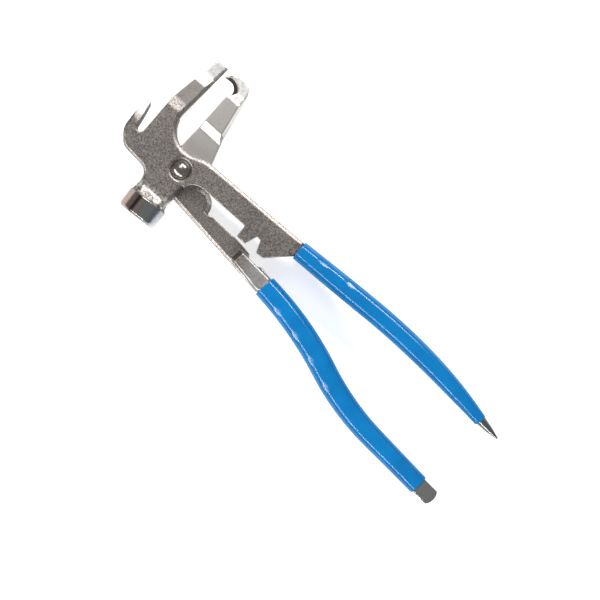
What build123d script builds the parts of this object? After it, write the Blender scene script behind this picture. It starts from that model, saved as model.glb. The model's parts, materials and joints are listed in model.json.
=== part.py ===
from build123d import *
import math
import os

# Wheel weight hammer pliers: two forged levers, lapped at one rivet, with vinyl grips.
# Millimetres. The outlines are drawn about the rivet's axis: +X runs to the handle ends,
# +Y to the jaw tips, and Z = 0 is the plane where the two levers lie on each other.
# place() then moves every piece so that the origin is the middle of the tool's
# footprint, on the bench that it lies on.

# ---- Driving dimensions ----
PLATE = 6.5            # thickness of one lever beside the rivet
LAP_GAP = 0.1          # running gap between the two lapped faces
JAW_HALF = 5.0         # half thickness of both jaws beyond the lap
TIP_HALF = 2.6         # half thickness of the jaw tips
TIP_END_HALF = 1.8     # the same at the very end of the hammer lever's tip
TIP_STEP = 0.3         # small step where each tip is ground
HOOK_TOP = 2.5         # height of the hook jaw's raised face over the lap
HOOK_CAP = (1.3, 0.5)  # heights of the ground cap over the hook, from root to end
CLAW_TIP_HALF = 3.6    # half thickness of the claw's tip
RIM_WIDE = 1.8         # sloping forged rim round the shanks and the cup
RIM_DEEP = 1.0
CLAW_RIM_WIDE = 1.4    # the same below the claw
HOOK_WALL = (1.4, 2.4) # width and depth of the steep rim along the hook jaw's back
JAW_DRAFT = 1.5        # how far the hammer jaw's inner wall leans back
TIP_DRAFT = 1.6        # the same at its tip

RIVET_R = 4.0          # rivet shank
RIVET_RUNNING = 0.03   # radial clearance of the shank in both levers
DOME_R = 5.1           # polished head of the rivet
DOME_RISE = 2.9
DOME_SEAT_R = 5.8      # round pocket that the head sits in
DOME_SEAT_DEPTH = 0.5
TAIL_R = 6.0           # flattened tail of the rivet, on the back
TAIL_RISE = 1.6
TAIL_GAP = 0.05

DISC_R = 12.7          # round body of the hook lever, under the head
POCKET_R = 13.2        # pocket for it in the back of the head
POCKET_LEFT = -9.9     # left edge of the same pocket beside the hook jaw
OPEN_LIMIT = 24.0      # degrees that the levers open before they meet the neck
STOP_SPARE = 0.7       # degrees of play left at that stop

POLL_R = 10.7          # hammer face
POLL_TILT = 8.5        # degrees that the hammer axis leans from -Y towards +X
POLL_AXIS_X = -3.85    # where the hammer axis crosses the rivet's level
POLL_FACE = 32.7       # striking face, measured along that axis
POLL_BACK = 22.3       # back of the turned poll
POLL_EDGE = 1.1        # turned edge round the face

# Neck sections, as (distance along the hammer's axis, thickness, width, corner radius)
NECK = [
    (16.0, 13.0, 17.6, 2.5),
    (18.4, 13.4, 17.7, 3.5),
    (20.6, 16.6, 18.6, 6.5),
    (POLL_BACK + 0.4, 2 * POLL_R - 0.9, 2 * POLL_R - 0.9, POLL_R - 0.8),
]

GRIP_WALL = 1.1        # vinyl round both handles
SPIKE_R = 2.85
SPIKE_WAIST_R = 1.95    # halfway along its cone, which bulges a little
SPIKE_TIP_R = 0.6
SPIKE_TIP_Y = 22.6
BLADE_WIDTH = 8.8      # screwdriver blade
BLADE_BULGE = 1.7      # rise of its curved edge
BLADE_ROOT = 8.0       # length of it inside the grip
BLADE_HALF = 3.2
BLADE_EDGE_HALF = 0.7

TEETH = 11             # pipe-grip teeth on the hook lever
TOOTH_PITCH = 1.28
TOOTH_DEPTH = 0.8
TEETH_FROM = (27.6, -4.4)
TEETH_RISE = 0.06      # slope of the row of teeth

# Extents of the tool about the rivet, which place() centres
LEFT, RIGHT = -36.85, 206.3
LOW, HIGH = -33.76, 54.0

# Each corner of an outline is (x, y, radius).
HAMMER_OUTLINE = [
    (74.0, 20.15, 0),       # top of the shank, inside the grip
    (5.8, 12.62, 20),       # shoulder above the rivet
    (-19.4, -0.77, 13.4),   # cup between the jaws
    (-20.3, 51.8, 0),       # jaw tip
    (-27.3, 51.8, 0.9),
    (-27.2, 40.9, 2),
    (-28.3, 37.5, 3),
    (-29.3, 22.5, 20),      # back of the jaw
    (-26.6, -2.0, 2.0),     # slot behind the claw
    (-30.8, -2.0, 1.6),
    (-32.3, 5.0, 12),
    (-34.2, 11.3, 0.7),     # claw tip
    (-35.3, 12.4, 0),
    (-37.15, 4.6, 15),      # back of the claw
    (-35.3, -6.2, 9),
    (-28.8, -12.5, 7),
    (-10.3, -12.45, 5.7),   # throat between claw and poll
    (-10.3, -23.4, 0),
    (8.4, -20.9, 0),
    (7.9, -17.0, 3),        # neck
    (7.75, -6.6, 0),
    (7.95, 0.88, 7.4),      # crotch over the hook lever
    (42.2, 3.9, 0.4),
    (43.1, -2.6, 0.5),      # trimming notch
    (48.3, -2.2, 0.4),
    (50.1, 4.3, 0.8),
    (52.7, 4.6, 0.8),
    (55.7, -1.3, 0.5),
    (59.7, -0.8, 1.0),
    (70.2, 11.6, 3.0),
    (74.0, 12.1, 0),
]

HOOK_BEFORE_TEETH = [
    (74.0, -4.9, 0),        # top of the shank, inside the grip
    (62.6, -4.2, 0.8),
    (60.6, -5.9, 0.4),      # gap in the anvil
    (55.4, -5.9, 0.4),
    (53.4, -3.8, 0.5),
    (41.9, -3.4, 0),
]
HOOK_AFTER_TEETH = [
    (27.0, -5.2, 0),
    (22.0, -6.0, 0),        # under the round shoulder
    (10.0, -6.0, 0),
    (10.0, 6.5, 0),
    (8.4, 12.7, 8),         # back of the hook jaw
    (2.9, 25.5, 6),
    (-2.3, 44.3, 10),
    (-5.2, 53.9, 7.5),
    (-14.8, 54.1, 5),
    (-19.3, 47.7, 0),       # hook tip
    (-10.45, 49.0, 4.4),    # inside of the hook
    (-10.45, 42.5, 0),
    (-11.35, 42.3, 0.4),
    (-9.7, 24.0, 0),        # inside of the hook jaw
    (-9.1, 8.9, 0),
    (-4.0, 0.0, 0),
]
SHOULDER = (16.5, -6.1)    # round shoulder of the hook lever, beside the crotch
SHOULDER_R = 8.3
SHOULDER_TOP_R = 6.0
SHOULDER_SLOPE = 3.0
SHANK_FALL = 1.75          # degrees, lower edge of the hook lever's shank
SHANK_END = 74.0

# Jaw profiles, seen from the side: where each ramp starts and ends
HAMMER_RAMPS = (18.6, 23.9, 36.6, 42.6)
HAMMER_RAMP_TILT = 5.0
HOOK_RAMPS = (22.0, 26.4, 42.9, 46.6)
HOOK_RAMP_TILT = 4.0

HOOK_EYE = (-14.85, 43.95)  # centre of the hook's inner curve
HOOK_EYE_R = 4.4
BEVEL_WIDE = 2.7            # bevel ground along that curve
BEVEL_END = (-10.45, 43.4)
BEVEL_END_TILT = 62.0
HOOK_STRAIGHT = 33.2       # straight end of the hook lever's handle

# Roots of the handles, as (distance along the handle, width, thickness, lift, corner radius)
HAMMER_ROOT = (0.0, 8.0, 5.0, 2.6)
HOOK_RIB_FOOT = (0.0, 6.2, 1.0, -0.6)
HOOK_RIB = (2.2, 6.6, 6.8, 0.0, 0.9)
HOOK_RIB_END = (20.4, 8.8, 8.6, 0.0, 1.2)

# Handle stations, as (distance along the handle, width, thickness) over the vinyl
HAMMER_GRIP = [
    (7.5, 10.3, 14.6),
    (38.0, 11.2, 12.8),
    (66.0, 11.2, 12.0),
    (92.0, 10.7, 11.4),
    (114.0, 9.2, 9.8),
    (132.3, 6.6, 7.0),
]
HOOK_GRIP = [
    (21.5, 12.0, 11.4),
    (50.0, 12.6, 11.8),
    (78.0, 12.5, 11.8),
    (104.0, 11.8, 11.4),
    (128.0, 11.0, 10.8),
    (148.0, 10.6, 10.2),
]


def place(shape):
    """Move a finished piece from the rivet's frame to the tool's own frame."""
    return shape.moved(Location((-(LEFT + RIGHT) / 2, -(LOW + HIGH) / 2, POLL_R)))


def outline(corners):
    """A face from corners, each rounded to its own radius."""
    points = [(x, y) for x, y, _ in corners]
    radii = [r for _, _, r in corners]
    return make_face(FilletPolyline(*points, radius=radii, close=True).edges())


def slab(face, low, high):
    """A plate of that outline between two heights."""
    return extrude(Pos(0, 0, low) * face, high - low)


def slope_rim(solid, near, wide, deep):
    """Slope the chain of rim edges that passes nearest to a point on a flat face."""
    z = near[2]
    rim = [e for e in solid.edges() if all(abs((e @ t).Z - z) < 1e-3 for t in (0, 0.5, 1))]
    edge = min(rim, key=lambda e: e.distance_to(Vertex(*near)))
    flats = [f for f in solid.faces() if abs(f.center().Z - z) < 1e-3]
    flat = min(flats, key=lambda f: f.distance_to(edge.center()))
    return chamfer([edge], length=wide, length2=deep, reference=flat)


def across(profile, left, right, tilt=0.0, about=(0.0, 0.0)):
    """A bar with a (y, z) profile, from x = left to right, turned about a point."""
    face = Plane.YZ * make_face(Polyline(*profile, close=True).edges())
    bar = extrude(Pos(left, 0, 0) * face, right - left)
    return Pos(*about) * Rot(0, 0, tilt) * Pos(-about[0], -about[1]) * bar


def both_sides(profile, left, right, tilt, about):
    """The same cutter above and below the middle plane."""
    top = across(profile, left, right, tilt, about)
    bottom = across([(y, -z) for y, z in profile], left, right, tilt, about)
    return top + bottom


def over_jaw(ramps):
    """Profile of what is ground off one face of a jaw."""
    root, plate, ramp, tip = ramps
    return [
        (root, PLATE),
        (plate, JAW_HALF),
        (ramp, JAW_HALF),
        (tip, TIP_HALF + TIP_STEP),
        (tip + 0.3, TIP_HALF),
        (HIGH, TIP_END_HALF),
        (HIGH + 5, TIP_END_HALF),
        (HIGH + 5, PLATE + 5),
        (root, PLATE + 5),
    ]


def lean_back(foot, head, low, high, inset):
    """Cutter that leans a wall back by inset between two heights, and the same underneath."""
    start, end = Vector(*foot, 0), Vector(*head, 0)
    ahead = (end - start).normalized()
    plane = Plane(origin=end, x_dir=(ahead.Y, -ahead.X, 0), z_dir=start - end)
    wedge = [(0, low), (-inset, high), (-inset, high + 8), (6, high + 8), (6, low)]
    upper = plane * make_face(Polyline(*wedge, close=True).edges())
    lower = plane * make_face(Polyline(*[(x, -z) for x, z in wedge], close=True).edges())
    length = (end - start).length
    return extrude(upper, length) + extrude(lower, length)


def hammer_path():
    """Centreline of the hammer lever's handle."""
    straight = Line((62.0, 14.45), (115.0, 21.15))
    return Wire([straight, JernArc(straight @ 1, straight % 1, 371, -12.2)])


def hook_path():
    """Centreline of the hook lever's handle."""
    first = Line((49.0, -8.95), (76.0, -9.7))
    bend = JernArc(first @ 1, first % 1, 181, -14.7)
    back = JernArc(bend @ 1, bend % 1, 138, 17.2)
    last = Line(back @ 1, back @ 1 + (back % 1) * HOOK_STRAIGHT)
    return Wire([first, bend, back, last])


def square_to(path, distance, lift=0.0):
    """The plane square to the path, with X across it and Y upward."""
    at = path.position_at(distance, PositionMode.LENGTH)
    ahead = path.tangent_at(distance, PositionMode.LENGTH)
    return Plane(origin=at + Vector(0, 0, lift), x_dir=(-ahead.Y, ahead.X, 0), z_dir=ahead)


def section(path, distance, width, thick, lift=0.0, corner=None):
    """A rounded section square to the path."""
    corner = corner or 0.42 * min(width, thick)
    return square_to(path, distance, lift) * RectangleRounded(width, thick, corner)


def steel(station):
    """The same station under the vinyl."""
    distance, width, thick = station
    return distance, width - 2 * GRIP_WALL, thick - 2 * GRIP_WALL


def handle(path, stations, *roots):
    """Steel of a handle: the bar under the grip, and the root that rises out of the plate."""
    bar = loft([section(path, *steel(s)) for s in stations])
    sections = [section(path, *root) for root in roots] + [section(path, *steel(stations[0]))]
    return bar + loft(sections, ruled=True)


def fade_into_handle(plate, path, start, station):
    """Slim a plate down to its handle's section between two distances."""
    wide = section(path, start, 34, 2 * PLATE + 0.4, corner=0.5)
    taper = loft([wide, section(path, *steel(station))], ruled=True)
    behind = Box(200, 40, 200, align=(Align.CENTER, Align.CENTER, Align.MAX))
    return plate & (square_to(path, start) * behind + taper)


def poll_and_neck():
    """Turned hammer poll, and the neck that swells from the head into it."""
    tilt = math.radians(POLL_TILT)
    plane = Plane(
        origin=(POLL_AXIS_X, 0, 0),
        x_dir=(0, 0, 1),
        z_dir=(math.sin(tilt), -math.cos(tilt), 0),
    )
    turned = plane * Pos(0, 0, POLL_BACK) * Cylinder(
        POLL_R, POLL_FACE - POLL_BACK, align=(Align.CENTER, Align.CENTER, Align.MIN)
    )
    face_edge = max(turned.edges(), key=lambda e: -e.center().Y)
    turned = chamfer([face_edge], length=POLL_EDGE)
    sections = [
        plane * Pos(0, 0, distance) * RectangleRounded(thick, wide, corner)
        for distance, thick, wide, corner in NECK
    ]
    return turned + loft(sections)


def neck_wall():
    """What the forging die's draft takes off the neck, on the hook lever's side."""
    profile = [(5.9, PLATE + 0.1), (9.5, PLATE + 0.1), (9.5, 2.4), (7.9, 2.4)]
    face = Plane.XZ * make_face(Polyline(*profile, close=True).edges())
    return Pos(0, -5.0, 0) * extrude(face, 14.5)


def claw_wedge():
    """What is taken off both faces of the claw towards its tip."""
    profile = [(1.0, PLATE), (12.6, CLAW_TIP_HALF), (15.0, CLAW_TIP_HALF), (15.0, 12.0), (1.0, 12.0)]
    return both_sides(profile, -42.0, -29.8, 0.0, (0.0, 0.0))


def head_pocket():
    """Room in the back of the head for the hook lever, down to the stop on the neck."""
    stop = math.radians(SHANK_FALL + OPEN_LIMIT + STOP_SPARE)
    touch = (-DISC_R * math.sin(stop), -DISC_R * math.cos(stop))
    reach = 90.0
    sweep = [
        touch,
        (touch[0] + reach * math.cos(stop), touch[1] - reach * math.sin(stop)),
        (touch[0] + reach, HIGH),
        (POCKET_LEFT, HIGH),
        (POCKET_LEFT, 0.0),
    ]
    face = Circle(POCKET_R) + make_face(Polyline(*sweep, close=True).edges())
    return slab(face, -PLATE - 8, LAP_GAP / 2)


def rivet_hole():
    """Bore through a lever."""
    return Cylinder(RIVET_R + RIVET_RUNNING, 4 * PLATE)


def rivet_seat():
    """Round pocket for the rivet's head."""
    return Pos(0, 0, PLATE - DOME_SEAT_DEPTH) * Cylinder(
        DOME_SEAT_R, 5, align=(Align.CENTER, Align.CENTER, Align.MIN)
    )


def spike(path):
    """Pointed end of the hammer lever's handle."""
    root = path @ 1 + Vector(-6, 0.4, 0)
    axis = Vector(RIGHT, SPIKE_TIP_Y, 0) - root
    length = axis.length
    profile = Polyline(
        (0, 0),
        (SPIKE_R, 0),
        (SPIKE_R, 5.5),
        (SPIKE_WAIST_R, 5.5 + (length - 5.5) / 2),
        (SPIKE_TIP_R, length - 0.3),
        (SPIKE_TIP_R - 0.3, length),
        (0, length),
        close=True,
    )
    turned = revolve(Plane.XZ * make_face(profile.edges()), Axis.Z)
    return Plane(origin=root, z_dir=axis) * turned


def blade(path):
    """Screwdriver blade on the end of the hook lever's handle."""
    end = path @ 1
    ahead = path % 1
    half = BLADE_WIDTH / 2
    length = RIGHT - end.X
    side = length - BLADE_BULGE
    sides = Polyline((side, -half), (-BLADE_ROOT, -half), (-BLADE_ROOT, half), (side, half))
    nose = ThreePointArc((side, half), (length, 0), (side, -half))
    plan = extrude(make_face(sides.edges() + nose.edges()), 8, both=True)
    wedge = [
        (-BLADE_ROOT, BLADE_HALF),
        (0, BLADE_HALF),
        (length, BLADE_EDGE_HALF),
        (length, -BLADE_EDGE_HALF),
        (0, -BLADE_HALF),
        (-BLADE_ROOT, -BLADE_HALF),
    ]
    slim = extrude(Plane.XZ * make_face(Polyline(*wedge, close=True).edges()), 10, both=True)
    return Plane(origin=end, x_dir=ahead, z_dir=(0, 0, 1)) * (plan & slim)


def hammer_lever():
    """Upper lever: head with poll, claw and fixed jaw, then the shank and the spike."""
    lever = slab(outline(HAMMER_OUTLINE), -PLATE, PLATE)
    for face in (PLATE, -PLATE):
        lever = slope_rim(lever, (40, 16.4, face), RIM_WIDE, RIM_DEEP)
        lever = slope_rim(lever, (-20, -12.5, face), CLAW_RIM_WIDE, RIM_DEEP)
    lever = lever - neck_wall() + poll_and_neck()
    lever -= both_sides(over_jaw(HAMMER_RAMPS), -31.5, -15.0, HAMMER_RAMP_TILT, (-24, 30))
    lever -= lean_back((-19.25, 17.0), (-20.45, 57.0), 0.6, JAW_HALF, JAW_DRAFT)
    lever -= lean_back((-19.98, 42.8), (-20.45, 57.0), 0.2, TIP_HALF, TIP_DRAFT)
    lever -= claw_wedge()
    lever -= head_pocket()
    path = hammer_path()
    lever = fade_into_handle(lever, path, 0, HAMMER_GRIP[0])
    lever += handle(path, HAMMER_GRIP, HAMMER_ROOT)
    lever += spike(path)
    return lever - rivet_hole() - rivet_seat()


def teeth():
    """Corners of the pipe-grip teeth, from the handle's side to the rivet."""
    corners = []
    for i in reversed(range(TEETH)):
        x, y = TEETH_FROM[0] + i * TOOTH_PITCH, TEETH_FROM[1] + i * TOOTH_PITCH * TEETH_RISE
        corners.append((x + TOOTH_PITCH, y - TOOTH_DEPTH, 0))
        corners.append((x + TOOTH_PITCH / 2, y, 0))
    return corners


def hook_lever():
    """Lower lever: hooked jaw, round body, pipe grip, shank and screwdriver blade."""
    fall = math.radians(SHANK_FALL)
    touch = (-DISC_R * math.sin(fall), -DISC_R * math.cos(fall), 0)
    end = (SHANK_END, touch[1] - (SHANK_END - touch[0]) * math.tan(fall), 0)
    plan = outline(HOOK_BEFORE_TEETH + teeth() + HOOK_AFTER_TEETH + [touch, end])
    top = -LAP_GAP / 2
    lever = slab(plan, -PLATE, top) + slab(Circle(DISC_R), -PLATE, top)
    for face in (top, -PLATE):
        lever = slope_rim(lever, (40, -13.9, face), RIM_WIDE, RIM_DEEP)
    lever = lever + round_shoulder(top) + raised_jaw(plan, top)
    lever -= across([(y, -z) for y, z in over_jaw(HOOK_RAMPS)], -25.0, 15.0, HOOK_RAMP_TILT, (-3, 30))
    lever -= hook_bevel()
    path = hook_path()
    lever = fade_into_handle(lever, path, 9, HOOK_GRIP[0])
    lever += handle(path, HOOK_GRIP, HOOK_RIB_FOOT, HOOK_RIB, HOOK_RIB_END)
    lever += blade(path)
    return lever - rivet_hole()


def round_shoulder(top):
    """Bevelled round shoulder beside the crotch, above the shank's lower edge."""
    foot = Align.CENTER, Align.CENTER, Align.MIN
    bevel = Pos(0, 0, top - SHOULDER_SLOPE) * Cone(SHOULDER_R, SHOULDER_TOP_R, SHOULDER_SLOPE, align=foot)
    upper = Box(40, 40, 40, align=(Align.CENTER, Align.MIN, Align.CENTER))
    disc = slab(Circle(SHOULDER_R), -PLATE, top - SHOULDER_SLOPE) + bevel
    return Pos(*SHOULDER) * (disc & Pos(0, -3, 0) * upper)


def raised_jaw(plan, top):
    """The hook jaw beyond the lap, which rises level with the other jaw."""
    root, plate, ramp, tip = HOOK_RAMPS
    block = slab(plan, top - 1, HOOK_TOP)
    block = slope_rim(block, (0, 36, HOOK_TOP), *HOOK_WALL)
    profile = [
        (root, top - 1),
        (root, top),
        (plate, HOOK_TOP),
        (ramp, HOOK_TOP),
        (ramp, HOOK_TOP - TIP_STEP),
        (tip, HOOK_CAP[0] + TIP_STEP),
        (tip, HOOK_CAP[0]),
        (HIGH, HOOK_CAP[1]),
        (HIGH + 5, HOOK_CAP[1]),
        (HIGH + 5, top - 1),
    ]
    return block & across(profile, -25.0, 15.0, HOOK_RAMP_TILT, (-3, 30))


def hook_bevel():
    """The cone-shaped bevel ground along the inside of the hook."""
    low, high = HOOK_CAP[0] - BEVEL_WIDE, HOOK_CAP[0] + 2
    cone = Pos(*HOOK_EYE, low) * Cone(
        HOOK_EYE_R, HOOK_EYE_R + high - low, high - low, align=(Align.CENTER, Align.CENTER, Align.MIN)
    )
    beside = Box(30, 30, 30, align=(Align.CENTER, Align.MIN, Align.CENTER))
    return cone & Pos(*BEVEL_END) * Rot(0, 0, BEVEL_END_TILT) * beside


def pivot_rivet():
    """Domed rivet with a flattened tail on the back."""
    seat = PLATE - DOME_SEAT_DEPTH
    ball = (DOME_R**2 + DOME_RISE**2) / (2 * DOME_RISE)
    dome = Pos(0, 0, seat + DOME_RISE - ball) * Sphere(ball)
    dome &= Pos(0, 0, seat) * Box(20, 20, 20, align=(Align.CENTER, Align.CENTER, Align.MIN))
    foot = -PLATE - TAIL_GAP
    shank = Cylinder(RIVET_R, seat - foot, align=(Align.CENTER, Align.CENTER, Align.MIN))
    tail = Cylinder(TAIL_R, TAIL_RISE, align=(Align.CENTER, Align.CENTER, Align.MAX))
    tail = chamfer([min(tail.edges(), key=lambda e: e.center().Z)], length=TAIL_RISE / 2)
    return dome + Pos(0, 0, foot) * (shank + tail)


def grip(path, stations, lever):
    """Vinyl sleeve dipped over a lever's handle."""
    return loft([section(path, *s) for s in stations]) - lever


def main():
    os.makedirs("parts", exist_ok=True)
    hammer = hammer_lever()
    hook = hook_lever()
    pieces = {
        "hammer_lever": hammer,
        "hook_lever": hook,
        "pivot_rivet": pivot_rivet(),
        "hammer_lever_grip": grip(hammer_path(), HAMMER_GRIP, hammer),
        "hook_lever_grip": grip(hook_path(), HOOK_GRIP, hook),
    }
    for name, piece in pieces.items():
        export_step(place(piece), f"parts/{name}.step")
        box = place(piece).bounding_box()
        print(name, round(piece.volume), box.min, box.max)


main()
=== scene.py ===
# %% [markdown]
# # Wheel weight hammer pliers
# Two steel forgings turn on one rivet, and each handle is dipped in blue vinyl. The frame that is loaded
# here already holds the right sizes, so this lesson only builds what the eye sees: the skin of the
# forgings, the bright ground faces, the turned hammer face, the polished rivet and the vinyl sleeves.

# %% Load the frame
import json
import math

import bmesh
import bpy
import numpy as np
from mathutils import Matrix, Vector


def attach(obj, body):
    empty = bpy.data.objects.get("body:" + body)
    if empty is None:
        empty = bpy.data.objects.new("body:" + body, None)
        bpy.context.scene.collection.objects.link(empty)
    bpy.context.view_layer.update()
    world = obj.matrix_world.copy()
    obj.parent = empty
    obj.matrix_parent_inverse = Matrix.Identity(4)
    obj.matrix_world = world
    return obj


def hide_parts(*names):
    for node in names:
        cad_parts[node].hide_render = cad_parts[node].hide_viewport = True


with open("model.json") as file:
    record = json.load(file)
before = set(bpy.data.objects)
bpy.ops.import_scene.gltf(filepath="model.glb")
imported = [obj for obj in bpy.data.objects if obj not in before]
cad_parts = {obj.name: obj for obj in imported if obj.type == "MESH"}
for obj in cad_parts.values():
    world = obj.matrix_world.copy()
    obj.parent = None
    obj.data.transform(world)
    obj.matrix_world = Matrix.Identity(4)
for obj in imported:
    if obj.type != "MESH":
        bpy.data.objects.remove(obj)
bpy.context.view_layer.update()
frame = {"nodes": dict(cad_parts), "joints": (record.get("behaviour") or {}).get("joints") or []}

print("the frame's nodes:", sorted(frame["nodes"]))

# %% [markdown]
# Everything on this tool is drawn about its rivet, so the lesson measures from there, in millimetres: X
# towards the handles' ends, Y towards the jaw tips and Z out of the face with the rivet's dome. The frame
# says where the rivet is, and one helper turns such a point into the scene's metres.

# %% Measure from the rivet
MM = 0.001
RIVET = Vector(frame["joints"][0]["pos_m"])


def at(x, y, z=0.0):
    """A point in millimetres from the rivet, in the scene's metres."""
    return RIVET + Vector((x, y, z)) * MM


def from_rivet(points):
    """The other way round, for a whole array of points."""
    return (np.asarray(points, float) - np.array(RIVET)) / MM


print("the rivet is at", [round(v, 4) for v in RIVET])

# %% [markdown]
# A mesh is quickest to study and to bend as one array of numbers. These helpers read a mesh's points and
# normals into numpy, write them back, and keep a number for each point as a named attribute, which a
# material can read later.

# %% Mesh helpers
def points_of(mesh):
    """All vertex positions as rows of an array."""
    flat = np.empty(len(mesh.vertices) * 3, np.float32)
    mesh.vertices.foreach_get("co", flat)
    return flat.reshape(-1, 3).astype(float)


def normals_of(mesh):
    """All vertex normals as rows of an array."""
    flat = np.empty(len(mesh.vertices) * 3, np.float32)
    mesh.vertex_normals.foreach_get("vector", flat)
    return flat.reshape(-1, 3).astype(float)


def move_points(mesh, points):
    """Write the positions back."""
    mesh.vertices.foreach_set("co", np.asarray(points, np.float32).ravel())
    mesh.update()


def keep_values(mesh, name, values):
    """Store one number for each vertex under a name."""
    attribute = mesh.attributes.get(name) or mesh.attributes.new(name, "FLOAT", "POINT")
    attribute.data.foreach_set("value", np.asarray(values, np.float32))


def ease(values, low, high):
    """0 below low, 1 above high, and a smooth step between them."""
    t = np.clip((values - low) / (high - low), 0.0, 1.0)
    return t * t * (3.0 - 2.0 * t)


def band(values, low, high, soft=0.3):
    """1 between low and high, with soft ends."""
    return ease(values, low - soft, low + soft) * (1.0 - ease(values, high - soft, high + soft))


def show(name, mesh):
    """A new object in the scene, at the origin, for a finished mesh."""
    piece = bpy.data.objects.new(name, mesh)
    bpy.context.scene.collection.objects.link(piece)
    return piece


def baked(piece):
    """The mesh that an object's modifiers leave, as a plain mesh."""
    ready = piece.evaluated_get(bpy.context.evaluated_depsgraph_get())
    return bpy.data.meshes.new_from_object(ready)


print("mesh helpers ready")

# %% [markdown]
# Node trees get long when each node takes four lines. One small helper adds a node, sets its properties
# and plugs its inputs, whether an input is a plain value or the output of an earlier node. It serves the
# geometry trees and the material trees alike.

# %% A helper for node trees
def add(tree, kind, plugs=None, **settings):
    """Add a node, set its properties and plug its inputs by name or number."""
    made = tree.nodes.new(kind)
    for key, value in settings.items():
        setattr(made, key, value)
    for key, value in (plugs or {}).items():
        if isinstance(value, bpy.types.NodeSocket):
            tree.links.new(value, made.inputs[key])
        else:
            made.inputs[key].default_value = value
    return made


def calculate(tree, operation, *values):
    """One Math node."""
    made = tree.nodes.new("ShaderNodeMath")
    made.operation = operation
    for slot, value in zip(made.inputs, values):
        if isinstance(value, bpy.types.NodeSocket):
            tree.links.new(value, slot)
        else:
            slot.default_value = value
    return made.outputs[0]


def sockets(tree, side, **kinds):
    """Name a group's inputs or outputs."""
    for name, kind in kinds.items():
        tree.interface.new_socket(name.replace("_", " "), in_out=side, socket_type="NodeSocket" + kind)


print("node helpers ready")

# %% [markdown]
# ## The forgings' skin
# A drop forging has no sharp edges, because hot steel doesn't fill the corners of the die. The frame's
# levers have them. Rounding each edge by hand is slow, so the levers are remeshed: a copy of the frame's
# mesh is rebuilt from small even cells, which melts the edges by about one cell, and a short smoothing
# melts them a little more. The teeth and the trimming notch are cut after the forging, so a vertex
# group keeps them crisp.

# %% Remesh a lever
CELL = 0.32            # millimetres


def merged_copy(node):
    """The frame's mesh for a node, with its loose triangles joined."""
    mesh = frame["nodes"][node].data.copy()
    work = bmesh.new()
    work.from_mesh(mesh)
    bmesh.ops.remove_doubles(work, verts=work.verts, dist=1e-6)
    work.to_mesh(mesh)
    work.free()
    mesh.materials.clear()
    return mesh


def even_skin(node):
    """The same solid, rebuilt from even cells."""
    piece = show(node + "_skin", merged_copy(node))
    skin = piece.modifiers.new("cells", "REMESH")
    skin.mode = "VOXEL"
    skin.voxel_size = CELL * MM
    skin.use_smooth_shade = True
    mesh = baked(piece)
    piece.modifiers.clear()
    piece.data = mesh
    return piece


def melt_edges(piece, soft, rounds=6):
    """Smooth the points, each by its own share."""
    group = piece.vertex_groups.new(name="soft")
    for level in np.linspace(0.0, 1.0, 11):
        chosen = np.flatnonzero(np.isclose(np.round(soft, 1), round(float(level), 1)))
        group.add(chosen.tolist(), float(level), "REPLACE")
    melt = piece.modifiers.new("melt", "SMOOTH")
    melt.factor = 0.5
    melt.iterations = rounds
    melt.vertex_group = "soft"
    mesh = baked(piece)
    piece.modifiers.clear()
    piece.vertex_groups.clear()
    piece.data = mesh


hammer = even_skin("hammer_lever")
hook = even_skin("hook_lever")
for lever in (hammer, hook):
    print(lever.name, "has", len(lever.data.polygons), "cells on its surface")

# %% [markdown]
# The smoothing needs to know which points are cut edges. A jaw's ramps run across it at a slight tilt, so
# one function measures how far up a jaw a point lies. The other functions name the regions of each
# lever, and the finish of each region comes from them too. A turned region also gets a streak number for
# the poll's painted reflection: the distance from the hammer's axis round the poll, or one of two marks
# where the steel is plain.

# %% Name the regions of both levers
HAMMER_JAW = (-24.0, 30.0, 5.0)      # a point on the jaw's middle line, and the ramps' tilt in degrees
HAMMER_PLATE = (23.5, 37.2)          # stretches up the jaw, in millimetres
HAMMER_RAMP = (37.2, 42.0)
HAMMER_PAD = (43.0, 60.0)
HOOK_JAW = (-3.0, 30.0, 4.0)
HOOK_RAMP = (22.2, 26.2)
HOOK_PAD = (43.1, 60.0)
HOOK_BEVEL = (42.0, 52.5)
POLL_AXIS_X = -3.85
POLL_TILT = math.radians(8.5)
POLL_BACK = 22.3
NECK_FROM = 16.5
SPIKE_FROM = 193.0                   # where each handle leaves its sleeve
BLADE_FROM = 195.6
SPIKE_MARK, BLADE_MARK = 40.0, 80.0


def up_jaw(p, jaw):
    """Distance up a jaw, square to its ramps."""
    x, y, tilt = jaw[0], jaw[1], math.radians(jaw[2])
    return y - math.sin(tilt) * (p[:, 0] - x) + math.cos(tilt) * (p[:, 1] - y)


def along_poll(p):
    """Distance along the hammer's axis."""
    return math.sin(POLL_TILT) * (p[:, 0] - POLL_AXIS_X) - math.cos(POLL_TILT) * p[:, 1]


def across_poll(p):
    """Distance from the hammer's axis, sideways."""
    return math.cos(POLL_TILT) * (p[:, 0] - POLL_AXIS_X) + math.sin(POLL_TILT) * p[:, 1]


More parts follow.
